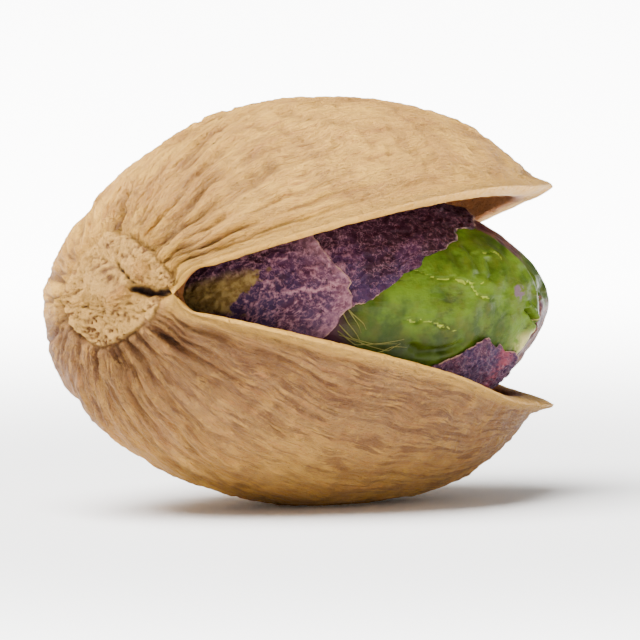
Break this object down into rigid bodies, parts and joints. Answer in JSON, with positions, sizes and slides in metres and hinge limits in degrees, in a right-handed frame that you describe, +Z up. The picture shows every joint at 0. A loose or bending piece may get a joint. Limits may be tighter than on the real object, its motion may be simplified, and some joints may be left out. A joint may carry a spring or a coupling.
{
  "type": "pistachio in shell",
  "caption": "Roasted pistachio lying on its side, its tan shell split open at the tip to show a green kernel with torn purple skin.",
  "frame": {"origin": "middle of the small flat spot under the lower valve, on the table", "axes": "+X from the stem end to the tip, -Y to the side where the shell gapes wide, +Z up"},
  "size_m": [0.0225, 0.0132, 0.016],
  "materials": {
    "shell": "matt woody nutshell, tan with brown streaks",
    "kernel": "slightly oily green seed",
    "skin": "dry papery purple seed skin"
  },
  "bodies": {
    "root": {"shell": "shell", "kernel": "kernel", "skin_stem": "skin", "skin_top": "skin", "skin_low": "skin", "skin_back": "skin"}
  },
  "joints": []
}
